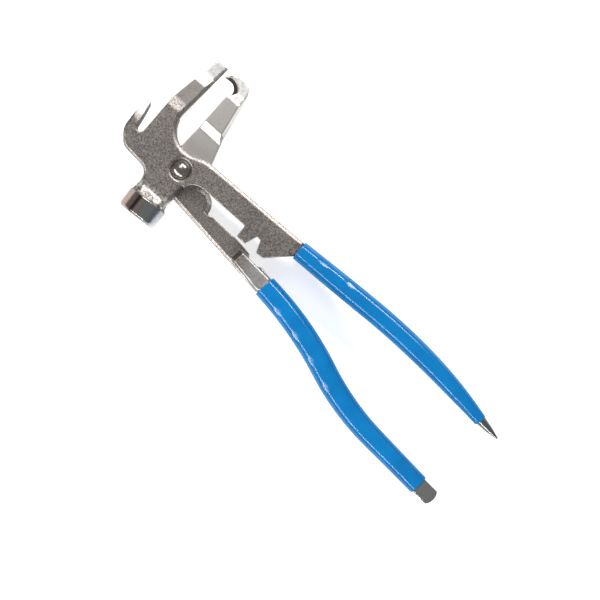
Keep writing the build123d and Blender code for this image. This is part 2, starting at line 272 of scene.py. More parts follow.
def hammer_regions(p, n):
    """How far each part of the hammer lever is ground white, made flat on a machine or turned, and how far
    its rims get a painted highlight.
    """
    up = up_jaw(p, HAMMER_JAW)
    jaw = (p[:, 0] < -15.0) * (p[:, 0] > -31.0) * ease(n[:, 2] * n[:, 2], 0.2, 0.5)
    tip = 0.15 * band(up, *HAMMER_RAMP) + band(up, *HAMMER_PAD)
    claw = ease(p[:, 1], 1.0, 6.5) * (p[:, 0] < -29.9) * ease(n[:, 2] * n[:, 2], 0.5, 0.8)
    notch = band(p[:, 0], 42.0, 60.5) * (p[:, 1] < 4.8) * (abs(n[:, 2]) < 0.7)
    poll = ease(along_poll(p), POLL_BACK - 0.1, POLL_BACK + 0.5)
    neck = band(along_poll(p), NECK_FROM, POLL_BACK, 1.6) * (abs(p[:, 0]) < 14.0)
    face = ease(math.sin(POLL_TILT) * n[:, 0] - math.cos(POLL_TILT) * n[:, 1], 0.7, 0.9) * poll
    spike = ease(p[:, 0], SPIKE_FROM, SPIKE_FROM + 0.6)
    return {
        "ground": np.clip(jaw * tip + claw + 0.7 * notch, 0, 1),
        # Machined jaw plate, plus the rims' painted highlight from slope.
        "machined": np.clip(0.3 * jaw * band(up, *HAMMER_PLATE) + 0.12 * slope(n) * (1 - neck), 0, 1),
        "turned": np.clip(poll + spike, 0, 1),
        "streak": np.where(face > 0.5, SPIKE_MARK, across_poll(p) * poll + SPIKE_MARK * spike),
        # The neck's crinkled forging: deeper pebbles, and pale folds painted as its highlight.
        "crinkle": neck * (1.0 - poll),
    }


def hook_regions(p, n):
    """How far each part of the hook lever is ground white, made flat on a machine or turned, and how far its
    rims get a painted highlight.
    """
    up = up_jaw(p, HOOK_JAW)
    jaw = (p[:, 0] < 9.0) * ease(n[:, 2], 0.76, 0.84)
    ramp = band(up, *HOOK_RAMP)
    cap = 0.1 * ramp + band(up, *HOOK_PAD)
    shoulder = band(p[:, 0], 9.0, 26.0) * (p[:, 1] > -10.0)
    bevel = band(up, *HOOK_BEVEL) * band(p[:, 0], -21.0, -9.0) * band(n[:, 2], 0.45, 0.76, 0.08)
    teeth = band(p[:, 0], 27.3, 42.0) * (p[:, 1] > -5.6) * (abs(n[:, 2]) < 0.7)
    rib = band(p[:, 0], 56.0, 74.0, 5.0) * (p[:, 2] > -3.0)
    blade = ease(p[:, 0], BLADE_FROM, BLADE_FROM + 0.6)
    return {
        "ground": np.clip(jaw * cap * 0.92 + 0.7 * teeth + 0.5 * rib, 0, 1),
        # Machined jaw, plus the rims' painted highlight from slope.
        "machined": np.clip((p[:, 1] > 4.0) * (p[:, 0] < 14.0) * (1.0 - 0.7 * ramp)
                            + 0.2 * slope(n) * (1 - shoulder), 0, 1),
        "turned": blade,
        "streak": BLADE_MARK * blade,
        # The hook shoulder's crinkled sides: deeper pebbles, and pale folds painted as their highlight.
        "crinkle": 0.5 * shoulder * (n[:, 2] < 0.95),
        "burnt": bevel,
    }


def slope(n):
    """Painted highlight on the forged rims that lean out at their own angle and face along Y, towards the
    side lights.
    """
    return band(n[:, 2] * n[:, 2], 0.35, 0.9, 0.06) * ease(abs(n[:, 1]) - abs(n[:, 0]), -0.1, 0.2)


def cut_edges(p):
    """Regions that were cut cold, whose edges stay crisp."""
    teeth = band(p[:, 0], 26.5, 42.5) * (p[:, 1] > -6.5) * (p[:, 1] < -2.0)
    notch = band(p[:, 0], 41.5, 61.5) * (p[:, 1] < 5.5) * (p[:, 1] > -6.5)
    return np.clip(teeth + notch, 0, 1)


for lever in (hammer, hook):
    p = from_rivet(points_of(lever.data))
    melt_edges(lever, 1.0 - cut_edges(p))
    print(lever.name, "smoothed")

# %% [markdown]
# Worn and polished edges are the brightest lines on a forging, and the steel adds a painted highlight
# along them. A material could ask the renderer which points are convex, but the mesh itself knows it
# better: where the neighbours of a point lie below its tangent plane, the point is on an edge. That number
# is kept with the mesh, and so is its opposite, the crevices, which the steel darkens as painted shade.

# %% Measure edges and crevices
EDGE_BEND, CREVICE_BEND = 0.16, 0.10


def measure_edges(mesh):
    """Keep how convex and how hollow the mesh is at each vertex."""
    p, n = points_of(mesh), normals_of(mesh)
    ends = np.empty(len(mesh.edges) * 2, np.int32)
    mesh.edges.foreach_get("vertices", ends)
    a, b = ends.reshape(-1, 2).T
    step = p[b] - p[a]
    reach = np.linalg.norm(step, axis=1) + 1e-12
    bend = np.zeros(len(p))
    count = np.zeros(len(p))
    for here, way in ((a, step), (b, -step)):
        np.add.at(bend, here, -np.einsum("ij,ij->i", n[here], way) / reach)
        np.add.at(count, here, 1.0)
    bend /= np.maximum(count, 1.0)
    for _ in range(2):
        total = bend.copy()
        np.add.at(total, a, bend[b])
        np.add.at(total, b, bend[a])
        bend = total / (count + 1.0)
    keep_values(mesh, "edge", np.clip(bend / EDGE_BEND, 0.0, 1.0))
    keep_values(mesh, "crevice", np.clip(-bend / CREVICE_BEND, 0.0, 1.0))


for lever, regions in ((hammer, hammer_regions), (hook, hook_regions)):
    mesh = lever.data
    measure_edges(mesh)
    for name, values in regions(from_rivet(points_of(mesh)), normals_of(mesh)).items():
        keep_values(mesh, name, values)
    print(lever.name, "knows", [a.name for a in mesh.attributes if not a.name.startswith(".")])

# %% [markdown]
# The pebbled skin is scale that was pressed in by the die. It follows a rule over the whole surface,
# which is what Geometry Nodes are good at: a noise pushes each point in along its normal, never out, so
# the lever can't grow. Ground and turned faces and the hidden lap faces stay smooth.

# %% Pebble the skin with Geometry Nodes
def finish_geometry(tree, last, material):
    """Close a geometry tree: real geometry, its material and the output."""
    real = add(tree, "GeometryNodeRealizeInstances", {"Geometry": last.outputs[0]})
    named = add(tree, "GeometryNodeSetMaterial", {"Geometry": real.outputs[0], "Material": material})
    add(tree, "NodeGroupOutput", {"Geometry": named.outputs[0]})


def pebble_tree():
    """Geometry Nodes that press a pebbled skin into a forging."""
    tree = bpy.data.node_groups.new("pebbled skin", "GeometryNodeTree")
    sockets(tree, "INPUT", Geometry="Geometry", Pebble_size="Float", Pebble_depth="Float",
            Hollow_size="Float", Hollow_depth="Float", Finish="Material")
    sockets(tree, "OUTPUT", Geometry="Geometry")
    given = add(tree, "NodeGroupInput")
    smooth = add(tree, "GeometryNodeInputNamedAttribute", {"Name": "smooth"}, data_type="FLOAT")
    rough = calculate(tree, "SUBTRACT", 1.0, smooth.outputs["Attribute"])
    depth = 0.0
    for size, deep in (("Pebble size", "Pebble depth"), ("Hollow size", "Hollow depth")):
        scale = calculate(tree, "DIVIDE", 1.0, given.outputs[size])
        noise = add(tree, "ShaderNodeTexNoise", {"Scale": scale, "Detail": 2.0, "Roughness": 0.6})
        pressed = calculate(tree, "MULTIPLY", noise.outputs["Fac"], given.outputs[deep])
        depth = calculate(tree, "ADD", depth, pressed)
    inward = calculate(tree, "MULTIPLY", calculate(tree, "MULTIPLY", depth, rough), -1.0)
    normal = add(tree, "GeometryNodeInputNormal")
    push = add(tree, "ShaderNodeVectorMath", {0: normal.outputs[0], "Scale": inward}, operation="SCALE")
    moved = add(tree, "GeometryNodeSetPosition",
                {"Geometry": given.outputs["Geometry"], "Offset": push.outputs[0]})
    finish_geometry(tree, moved, given.outputs["Finish"])
    return tree


def run_tree(piece, tree, **values):
    """Run a tree on a piece with its inputs set by name, and leave a plain mesh."""
    modifier = piece.modifiers.new(tree.name, "NODES")
    modifier.node_group = tree
    for item in tree.interface.items_tree:
        key = item.name.replace(" ", "_")
        if item.item_type == "SOCKET" and item.in_out == "INPUT" and key in values:
            modifier[item.identifier] = values[key]
    mesh = baked(piece)
    piece.modifiers.clear()
    piece.data = mesh
    return mesh


print("the pebbled skin's tree is ready to build")

# %% [markdown]
# ## Finishes
# Two effects are node groups that are built once. Metal grain, which both metals share, holds the noises
# for the bumps that catch the light, for a fine and a slow tone, and for small folds. Worn edges take the
# edge number that the mesh carries and break it up, because no edge wears evenly. The steel uses this mask
# for wear with a painted highlight on forged edges, and for painted shade round the ground faces.

# %% Shared shader groups
def metal_grain():
    """Grain for every metal: a bump height, a fine tone, a slow tone and small folds."""
    tree = bpy.data.node_groups.new("metal grain", "ShaderNodeTree")
    sockets(tree, "INPUT", Vector="Vector", Grain_scale="Float", Patch_scale="Float")
    sockets(tree, "OUTPUT", Height="Float", Tone="Float", Patches="Float", Folds="Float")
    given = add(tree, "NodeGroupInput")
    place = given.outputs["Vector"]
    grain = add(tree, "ShaderNodeTexNoise", {"Vector": place, "Scale": given.outputs["Grain scale"],
                                             "Detail": 4.0, "Roughness": 0.65})
    cells = add(tree, "ShaderNodeTexVoronoi", {"Vector": place, "Scale": given.outputs["Grain scale"]})
    patches = add(tree, "ShaderNodeTexNoise", {"Vector": place, "Scale": given.outputs["Patch scale"],
                                               "Detail": 3.0, "Roughness": 0.6})
    fold_scale = calculate(tree, "MULTIPLY", given.outputs["Grain scale"], 0.35)
    folds = add(tree, "ShaderNodeTexNoise", {"Vector": place, "Scale": fold_scale,
                                             "Detail": 3.0, "Distortion": 0.8})
    bumps = calculate(tree, "MULTIPLY", cells.outputs["Distance"], 0.35)
    height = calculate(tree, "ADD", grain.outputs["Fac"], bumps)
    add(tree, "NodeGroupOutput", {"Height": height, "Tone": grain.outputs["Fac"],
                                  "Folds": folds.outputs["Fac"], "Patches": patches.outputs["Fac"]})
    return tree


def edge_wear_glint_shade():
    """Broken-up mask along the edges that a mesh's own edge number marks, for wear with a painted highlight
    and for painted shade.
    """
    tree = bpy.data.node_groups.new("edge wear glint shade", "ShaderNodeTree")
    sockets(tree, "INPUT", Vector="Vector", Edge="Float", Breakup_scale="Float", Start="Float")
    sockets(tree, "OUTPUT", Mask="Float")
    given = add(tree, "NodeGroupInput")
    noise = add(tree, "ShaderNodeTexNoise", {"Vector": given.outputs["Vector"],
                                             "Scale": given.outputs["Breakup scale"], "Detail": 3.0})
    jitter = calculate(tree, "MULTIPLY_ADD", noise.outputs["Fac"], 0.6, -0.3)
    broken = calculate(tree, "ADD", given.outputs["Edge"], jitter)
    low = given.outputs["Start"]
    high = calculate(tree, "ADD", low, 0.35)
    mask = add(tree, "ShaderNodeMapRange", {"Value": broken, "From Min": low, "From Max": high})
    add(tree, "NodeGroupOutput", {"Mask": mask.outputs["Result"]})
    return tree


GRAIN = metal_grain()
EDGE_WEAR_GLINT_SHADE = edge_wear_glint_shade()
print("shared groups:", GRAIN.name, "and", EDGE_WEAR_GLINT_SHADE.name)

# %% [markdown]
# Each material starts from the same blank: a Principled shader and the object's own coordinates, which
# don't slide when the tool moves. Colours are given on the screen's scale of 0 to 255, and are turned
# into the linear values that the shader works with.

# %% Material helpers
def linear(red, green, blue):
    """A colour on the 0 to 255 screen scale as the shader's linear colour."""
    def one(v):
        v /= 255.0
        return v / 12.92 if v <= 0.04045 else ((v + 0.055) / 1.055) ** 2.4
    return (one(red), one(green), one(blue), 1.0)


def blank(name, **values):
    """A new material with a Principled shader and its plain values."""
    made = bpy.data.materials.new(name)
    made.use_nodes = True
    tree = made.node_tree
    tree.nodes.clear()
    shader = add(tree, "ShaderNodeBsdfPrincipled", {k.replace("_", " "): v for k, v in values.items()})
    output = add(tree, "ShaderNodeOutputMaterial")
    tree.links.new(shader.outputs[0], output.inputs[0])
    place = add(tree, "ShaderNodeTexCoord").outputs["Object"]
    return made, tree, shader, place


def mix(tree, share, first, second):
    """Mix two colours by a share."""
    made = add(tree, "ShaderNodeMix", data_type="RGBA")
    for slot, value in ((0, share), (6, first), (7, second)):
        if isinstance(value, bpy.types.NodeSocket):
            tree.links.new(value, made.inputs[slot])
        else:
            made.inputs[slot].default_value = value
    return made.outputs[2]


def number(tree, name):
    """A number that the mesh carries."""
    return add(tree, "ShaderNodeAttribute", attribute_name=name).outputs["Fac"]


def remap(tree, value, low, high, out_low, out_high):
    """Stretch a value from one range to another."""
    made = add(tree, "ShaderNodeMapRange", {"Value": value, "From Min": low, "From Max": high,
                                            "To Min": out_low, "To Max": out_high})
    return made.outputs["Result"]


print("material helpers ready")

# %% [markdown]
# The forgings are plated over their rough skin, so they look warm and dark with bright grains. The lap
# faces are machined flat, and the jaw tips and the claw are ground nearly white. The poll and the spike
# are turned and polished. A polished poll mirrors the room as long streaks, and plain soft lights give it
# too few of them, so the streaks are coloured onto its side as a painted reflection. The mesh carries one
# number for each of these finishes, so they flow into each other on one piece of steel as they should.

# %% Plated steel
FORGED = linear(174, 167, 161)
FORGED_DARK = linear(108, 101, 97)
MACHINED = linear(228, 223, 217)
GROUND = linear(214, 213, 211)
# Painted shade, for crevices and round the edges of the ground faces.
PAINTED_SHADE = linear(46, 41, 38)
DARK_BEVEL = linear(84, 70, 62)
SPIKE_STEEL = linear(146, 146, 145)
BLADE_STEEL = linear(196, 197, 190)
STREAK_REACH = 12.0    # millimetres each side of the poll's axis
# The poll's painted reflection: the colour of each streak across its polished side.
POLL_REFLECTION_STREAKS = [            # distance from that axis, and the streak's colour there
    (-10.5, (196, 194, 190)), (-9.3, (158, 142, 130)), (-7.5, (184, 165, 150)), (-4.6, (160, 143, 133)),
    (-3.9, (70, 64, 61)), (-2.8, (86, 79, 75)), (-2.0, (180, 162, 154)), (0.2, (170, 160, 152)),
    (1.5, (172, 176, 170)), (5.0, (176, 178, 173)), (7.6, (152, 153, 154)), (8.6, (200, 201, 202)),
    (10.5, (214, 214, 213)),
]


def painted_reflection_streaks(tree):
    """Painted reflection: brown, dark and pale streaks along the poll, which wander a little, and plain dark
    steel elsewhere.
    """
    place = number(tree, "streak")
    wander = add(tree, "ShaderNodeTexNoise", {"W": place, "Scale": 1.2, "Detail": 3.0}, noise_dimensions="1D")
    shifted = calculate(tree, "ADD", place, remap(tree, wander.outputs["Fac"], 0.0, 1.0, -0.6, 0.6))
    share = remap(tree, shifted, -STREAK_REACH, STREAK_REACH, 0.0, 1.0)
    ramp = add(tree, "ShaderNodeValToRGB", {"Fac": share})
    stops = ramp.color_ramp.elements
    while len(stops) < len(POLL_REFLECTION_STREAKS):
        stops.new(0.5)
    for stop, (offset, colour) in zip(stops, POLL_REFLECTION_STREAKS):
        stop.position = (offset + STREAK_REACH) / (2 * STREAK_REACH)
        stop.color = linear(*colour)
    on_blade = calculate(tree, "GREATER_THAN", place, (SPIKE_MARK + BLADE_MARK) / 2)
    plain = mix(tree, on_blade, SPIKE_STEEL, BLADE_STEEL)
    off_poll = calculate(tree, "GREATER_THAN", place, SPIKE_MARK / 2)
    return mix(tree, off_poll, ramp.outputs["Color"], plain)


def plated_steel():
    """One steel with four finishes: forged skin, made flat on a machine, ground and turned, plus painted
    highlights, painted shade and a painted reflection on the poll.
    """
    made, tree, shader, place = blank("plated_steel", Metallic=1.0)
    grain = add(tree, "ShaderNodeGroup", {}, node_tree=GRAIN)
    tree.links.new(place, grain.inputs["Vector"])
    grain.inputs["Grain scale"].default_value = 1500.0
    grain.inputs["Patch scale"].default_value = 60.0
    wear_glint_shade_mask = add(tree, "ShaderNodeGroup", {}, node_tree=EDGE_WEAR_GLINT_SHADE)
    tree.links.new(place, wear_glint_shade_mask.inputs["Vector"])
    tree.links.new(number(tree, "edge"), wear_glint_shade_mask.inputs["Edge"])
    wear_glint_shade_mask.inputs["Breakup scale"].default_value = 700.0
    wear_glint_shade_mask.inputs["Start"].default_value = 0.35
    ground, machined, turned = (number(tree, name) for name in ("ground", "machined", "turned"))
    lines = add(tree, "ShaderNodeMapping", {"Vector": place, "Rotation": (0.0, 0.0, 0.5),
                                            "Scale": (0.55, 1.0, 0.5)})
    brushed = add(tree, "ShaderNodeTexNoise", {"Vector": lines.outputs[0], "Scale": 2300.0, "Detail": 2.0})
    tone = calculate(tree, "MULTIPLY", grain.outputs["Tone"], 0.4)
    speckle = calculate(tree, "MULTIPLY_ADD", brushed.outputs["Fac"], 0.6, tone)
    skin = mix(tree, remap(tree, speckle, 0.41, 0.59, 0.0, 1.0), FORGED_DARK, FORGED)
    skin = mix(tree, remap(tree, grain.outputs["Patches"], 0.42, 0.75, 0.0, 0.35), skin, FORGED_DARK)
    flat = mix(tree, remap(tree, grain.outputs["Tone"], 0.3, 0.7, 0.0, 0.4), MACHINED, FORGED)
    # Machined flats take their pale tone, and the rims take the same tone as a painted highlight.
    skin = mix(tree, machined, skin, flat)
    folds = remap(tree, grain.outputs["Folds"], 0.46, 0.56, 0.0, 1.0)
    # Crinkled folds: real forging texture, coloured pale as a painted highlight.
    skin = mix(tree, calculate(tree, "MULTIPLY", number(tree, "crinkle"), folds), skin, MACHINED)
    stained = mix(tree, remap(tree, grain.outputs["Folds"], 0.5, 0.62, 0.0, 0.55), GROUND, FORGED)
    skin = mix(tree, ground, skin, stained)
    # Turned steel: the poll takes its painted reflection streaks, and the spike and the blade take plain
    # steel.
    skin = mix(tree, turned, skin, painted_reflection_streaks(tree))
    # Edges: on the forged skin, wear with a painted highlight in the pale ground tone; round the ground
    # faces, painted shade.
    edge_glint_shade_tone = mix(tree, ground, GROUND, PAINTED_SHADE)
    edge_glint_shade_share = calculate(tree, "MULTIPLY", wear_glint_shade_mask.outputs["Mask"], remap(tree, ground, 0.0, 1.0, 0.35, 0.85))
    skin = mix(tree, edge_glint_shade_share, skin, edge_glint_shade_tone)
    # The hook's inner bevel is coloured dark brown.
    skin = mix(tree, number(tree, "burnt"), skin, DARK_BEVEL)
    # Crevices take painted shade.
    skin = mix(tree, remap(tree, number(tree, "crevice"), 0.25, 1.0, 0.0, 0.8), skin, PAINTED_SHADE)
    tree.links.new(skin, shader.inputs["Base Color"])
    tree.links.new(remap(tree, ground, 0.2, 1.0, 1.0, 0.8), shader.inputs["Metallic"])
    rough = remap(tree, calculate(tree, "MAXIMUM", machined, ground), 0.0, 1.0, 0.44, 0.36)
    rough = calculate(tree, "SUBTRACT", rough, calculate(tree, "MULTIPLY", turned, 0.2))
    tree.links.new(rough, shader.inputs["Roughness"])
    flatter = calculate(tree, "MAXIMUM", ground, calculate(tree, "MULTIPLY", machined, 0.6))
    smooth = calculate(tree, "MAXIMUM", turned, flatter)
    bump = add(tree, "ShaderNodeBump", {"Distance": 0.00012, "Height": grain.outputs["Height"]})
    tree.links.new(remap(tree, smooth, 0.0, 1.0, 0.7, 0.06), bump.inputs["Strength"])
    tree.links.new(bump.outputs[0], shader.inputs["Normal"])
    return made


PLATED = plated_steel()
print("steel:", PLATED.name)

# %% [markdown]
# Each lever is now finished: its skin is pebbled, its lap face is eased back by a hair so that the two
# never touch, and it takes the place of the frame's own lever. The vinyl hides most of each handle, so
# the steel under it can do with fewer faces.

# %% Finish both levers
SKIN = pebble_tree()
LAP_BACKOFF = 0.06           # millimetres
UNDER_VINYL = (73.0, 191.0)  # from the rivet along the handles


def values_of(mesh, name):
    """The numbers that a mesh carries under a name."""
    values = np.empty(len(mesh.vertices), np.float32)
    mesh.attributes[name].data.foreach_get("value", values)
    return values


def finish_lever(piece, lap_side):
    """Press in the skin, ease the lap face back and give the lever its steel."""
    mesh = piece.data
    p, n = from_rivet(points_of(mesh)), normals_of(mesh)
    smooth = values_of(mesh, "ground") + values_of(mesh, "turned") + values_of(mesh, "machined")
    lap = (abs(p[:, 2]) < 0.5) * ease(-lap_side * n[:, 2], 0.3, 0.8)
    keep_values(mesh, "smooth", np.clip(smooth + lap, 0, 1) - 2.0 * values_of(mesh, "crinkle"))
    p[:, 2] += lap_side * LAP_BACKOFF * lap
    move_points(mesh, p * MM + np.array(RIVET))
    mesh = run_tree(piece, SKIN, Pebble_size=0.8 * MM, Pebble_depth=0.07 * MM, Hollow_size=6.0 * MM,
                    Hollow_depth=0.14 * MM, Finish=PLATED)
    mesh.polygons.foreach_set("use_smooth", np.ones(len(mesh.polygons), bool))


def thin_out(piece, hidden):
    """Fewer, larger faces where the vinyl hides the steel."""
    group = piece.vertex_groups.new(name="hidden")
    group.add(np.flatnonzero(hidden).tolist(), 1.0, "REPLACE")
    fewer = piece.modifiers.new("fewer", "DECIMATE")
    fewer.ratio = 1.0 - 0.9 * hidden.mean()
    fewer.vertex_group = "hidden"
    mesh = baked(piece)
    piece.modifiers.clear()
    piece.vertex_groups.clear()
    piece.data = mesh


for lever, side, name in ((hammer, 1.0, "hammer_lever"), (hook, -1.0, "hook_lever")):
    finish_lever(lever, side)
    x = from_rivet(points_of(lever.data))[:, 0]
    thin_out(lever, (x > UNDER_VINYL[0]) & (x < UNDER_VINYL[1]))
    lever.name = name + "_forging"
    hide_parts(name)
    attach(lever, name)
    lever.data.calc_loop_triangles()
    print(lever.name, "finished with", len(lever.data.loop_triangles), "triangles")

# %% [markdown]
# ## The vinyl sleeves
# Each handle is dipped in liquid vinyl, which sets as a glossy sleeve with a rounded lip at its open end.
# The sleeve is a section that is swept along the handle, so it follows a rule and Geometry Nodes can build
# it: a closed rail runs along the outside and back along the inside, a circle is swept round the rail, and
# each point is then placed square to the handle's centreline at its own width and thickness. Shallow dents
# along one shoulder are where the vinyl sagged as it set. They break up the long highlight.

# %% Handle centrelines
def walk(start, heading, *moves):
    """Points along straights and bends, each given as (length, radius, degrees)."""
    x, y, angle = start[0], start[1], math.radians(heading)
    line = [(x, y)]
    for length, radius, turn in moves:
        reach = length or radius * math.radians(abs(turn))
        steps = max(int(reach / 0.5), 2)
        for _ in range(steps):
            angle += math.radians(turn) / steps / 2
            x += math.cos(angle) * reach / steps
            y += math.sin(angle) * reach / steps
            angle += math.radians(turn) / steps / 2
            line.append((x, y))
    return line


HAMMER_LINE = walk((62.0, 14.45), math.degrees(math.atan2(6.7, 53.0)), (53.42, 0, 0), (0, 371.0, -12.2))
HOOK_LINE = walk((49.0, -8.95), math.degrees(math.atan2(-0.75, 27.0)), (27.01, 0, 0), (0, 181.0, -14.7),
                 (0, 138.0, 17.2), (33.2, 0, 0))
# Each station is the distance along a handle, with the sleeve's width and thickness there
HAMMER_STATIONS = [(7.5, 10.3, 14.6), (38.0, 11.2, 12.8), (66.0, 11.2, 12.0), (92.0, 10.7, 11.4),
                   (114.0, 9.2, 9.8), (132.3, 6.6, 7.0)]
HOOK_STATIONS = [(21.5, 12.0, 11.4), (50.0, 12.6, 11.8), (78.0, 12.5, 11.8), (104.0, 11.8, 11.4),
                 (128.0, 11.0, 10.8), (148.0, 10.6, 10.2)]
WALL = 1.05
RAIL_STEP, INSIDE_SKIP = 0.6, 6      # the unseen inside needs fewer points than the skin
print("the handles end at", [[round(v, 2) for v in line[-1]] for line in (HAMMER_LINE, HOOK_LINE)])


def eased(stations, at_lengths, column):
    """A smooth curve through the stations' widths or thicknesses."""
    length = np.array([s[0] for s in stations])
    value = np.array([s[column] for s in stations])
    slope = np.gradient(value, length)
    i = np.clip(np.searchsorted(length, at_lengths) - 1, 0, len(length) - 2)
    gap = length[i + 1] - length[i]
    t = (at_lengths - length[i]) / gap
    first = (2 * t**3 - 3 * t**2 + 1) * value[i] + (t**3 - 2 * t**2 + t) * gap * slope[i]
    return first + (3 * t**2 - 2 * t**3) * value[i + 1] + (t**3 - t**2) * gap * slope[i + 1]


def wire(name, points, closed=False):
    """A mesh of edges through points in millimetres from the rivet."""
    mesh = bpy.data.meshes.new(name)
    count = len(points)
    edges = [(i, (i + 1) % count) for i in range(count if closed else count - 1)]
    mesh.from_pydata([at(*point) for point in points], edges, [])
    return show(name, mesh)


def rail(name, stations, lip):
    """The sleeve's closed rail: out along the skin, round the far lip, back inside, round the near lip."""
    near, far = stations[0][0], stations[-1][0]
    turn = np.linspace(0.0, math.pi, 9)[1:-1]
    out = np.arange(near + lip, far - lip, RAIL_STEP)
    back = out[::-INSIDE_SKIP]
    end, start = far - lip + lip * np.sin(turn), near + lip - lip * np.sin(turn)
    along = np.concatenate([out, end, back, start])
    half = WALL / 2
    fold = half * np.cos(turn)
    inset = np.concatenate([0 * out, half - fold, 0 * back + WALL, half + fold])
    made = wire(name, [(a, 20.0 * i, 0.0) for a, i in zip(along, inset)], closed=True)
    keep_values(made.data, "along", along * MM)
    keep_values(made.data, "inset", inset * MM)
    keep_values(made.data, "wide", eased(stations, along, 1) / 2 * MM)
    keep_values(made.data, "thick", eased(stations, along, 2) / 2 * MM)
    return made


print("a sleeve's rail runs out along the skin and back inside")

# %% [markdown]
# The tree below does the sweeping. It reads each point's place on the rail, finds the handle's centreline
# at that distance, and sets the point square to it.

# %% Sweep the sleeves with Geometry Nodes
def read(tree, name):
    """A number stored under a name, inside a geometry tree."""
    made = add(tree, "GeometryNodeInputNamedAttribute", {"Name": name}, data_type="FLOAT")
    return made.outputs["Attribute"]


def rounded(tree, wave, power, half):
    """One coordinate of a rounded-square section: the wave's sign, its bent size and the half width."""
    bent = calculate(tree, "POWER", calculate(tree, "ABSOLUTE", wave), power)
    return calculate(tree, "MULTIPLY", calculate(tree, "MULTIPLY", calculate(tree, "SIGN", wave), bent), half)


def dents(tree, given, angle, along):
    """How deep the vinyl has sagged: lens-shaped dents in a row along one shoulder."""
    away = calculate(tree, "ABSOLUTE", calculate(tree, "SUBTRACT", angle, given["Dent angle"]))
    shoulder = add(tree, "ShaderNodeMapRange",
                   {"Value": away, "From Min": 0.0, "From Max": 0.5, "To Min": 1.0, "To Max": 0.0},
                   interpolation_type="SMOOTHERSTEP").outputs["Result"]
    from_start = calculate(tree, "SUBTRACT", along, given["Dents from"])
    turns = calculate(tree, "DIVIDE", from_start, given["Dent pitch"])
    wave = calculate(tree, "SINE", calculate(tree, "MULTIPLY", turns, 2 * math.pi))
    inside = calculate(tree, "MULTIPLY", calculate(tree, "GREATER_THAN", from_start, 0.0),
                       calculate(tree, "LESS_THAN", along, given["Dents to"]))
    lens = calculate(tree, "MULTIPLY", calculate(tree, "MAXIMUM", wave, 0.0), inside)
    return calculate(tree, "MULTIPLY", calculate(tree, "MULTIPLY", lens, shoulder), given["Dent depth"])


def sleeve_tree():
    """Geometry Nodes that sweep a dipped sleeve along a handle's centreline."""
    tree = bpy.data.node_groups.new("dipped sleeve", "GeometryNodeTree")
    sockets(tree, "INPUT", Geometry="Geometry", Centreline="Object", Sides="Int", Fullness="Float",
            Dent_angle="Float", Dent_pitch="Float", Dent_depth="Float", Dents_from="Float",
            Dents_to="Float", Finish="Material")
    sockets(tree, "OUTPUT", Geometry="Geometry")
    given = add(tree, "NodeGroupInput").outputs
    path = add(tree, "GeometryNodeMeshToCurve", {"Mesh": given["Geometry"]})
    circle = add(tree, "GeometryNodeCurvePrimitiveCircle", {"Resolution": given["Sides"], "Radius": MM})
    share = add(tree, "GeometryNodeSplineParameter").outputs["Factor"]
    turn = calculate(tree, "MULTIPLY", share, 2 * math.pi)
    marked = add(tree, "GeometryNodeStoreNamedAttribute",
                 {"Geometry": circle.outputs[0], "Name": "angle", "Value": turn},
                 data_type="FLOAT", domain="POINT")
    tube = add(tree, "GeometryNodeCurveToMesh", {"Curve": path.outputs[0],
                                                 "Profile Curve": marked.outputs[0]})
    angle, along, inset = read(tree, "angle"), read(tree, "along"), read(tree, "inset")
    guide = add(tree, "GeometryNodeObjectInfo", {"Object": given["Centreline"]},
                transform_space="ORIGINAL")
    line = add(tree, "GeometryNodeMeshToCurve", {"Mesh": guide.outputs["Geometry"]})
    spot = add(tree, "GeometryNodeSampleCurve", {"Curves": line.outputs[0], "Length": along},
               mode="LENGTH")
    aside = add(tree, "ShaderNodeVectorMath", {0: (0.0, 0.0, 1.0), 1: spot.outputs["Tangent"]},
                operation="CROSS_PRODUCT")
    power = calculate(tree, "DIVIDE", 2.0, given["Fullness"])
    outside = calculate(tree, "LESS_THAN", inset, 0.00001)
    dent = calculate(tree, "MULTIPLY", dents(tree, given, angle, along), outside)
    less = calculate(tree, "ADD", inset, dent)
    wide = calculate(tree, "SUBTRACT", read(tree, "wide"), less)
    thick = calculate(tree, "SUBTRACT", read(tree, "thick"), less)
    sideways = rounded(tree, calculate(tree, "COSINE", angle), power, wide)
    upward = rounded(tree, calculate(tree, "SINE", angle), power, thick)
    across = add(tree, "ShaderNodeVectorMath", {0: aside.outputs[0], "Scale": sideways}, operation="SCALE")
    height = add(tree, "ShaderNodeCombineXYZ", {"Z": upward})
    corner = add(tree, "ShaderNodeVectorMath", {0: across.outputs[0], 1: height.outputs[0]})
    place = add(tree, "ShaderNodeVectorMath", {0: corner.outputs[0], 1: spot.outputs["Position"]})
    moved = add(tree, "GeometryNodeSetPosition", {"Geometry": tube.outputs[0],
                                                  "Position": place.outputs[0]})
    finish_geometry(tree, moved, given["Finish"])
    return tree


print("the dipped sleeve's tree is ready to build")

# %% [markdown]
# The vinyl is a strong blue with a wet gloss. Under the gloss its colour is a little uneven where the dip
# ran thicker, and a fine noise keeps the gloss from looking like glass.

# %% Blue vinyl
THICK_VINYL = linear(0, 111, 175)
THIN_VINYL = linear(0, 120, 186)


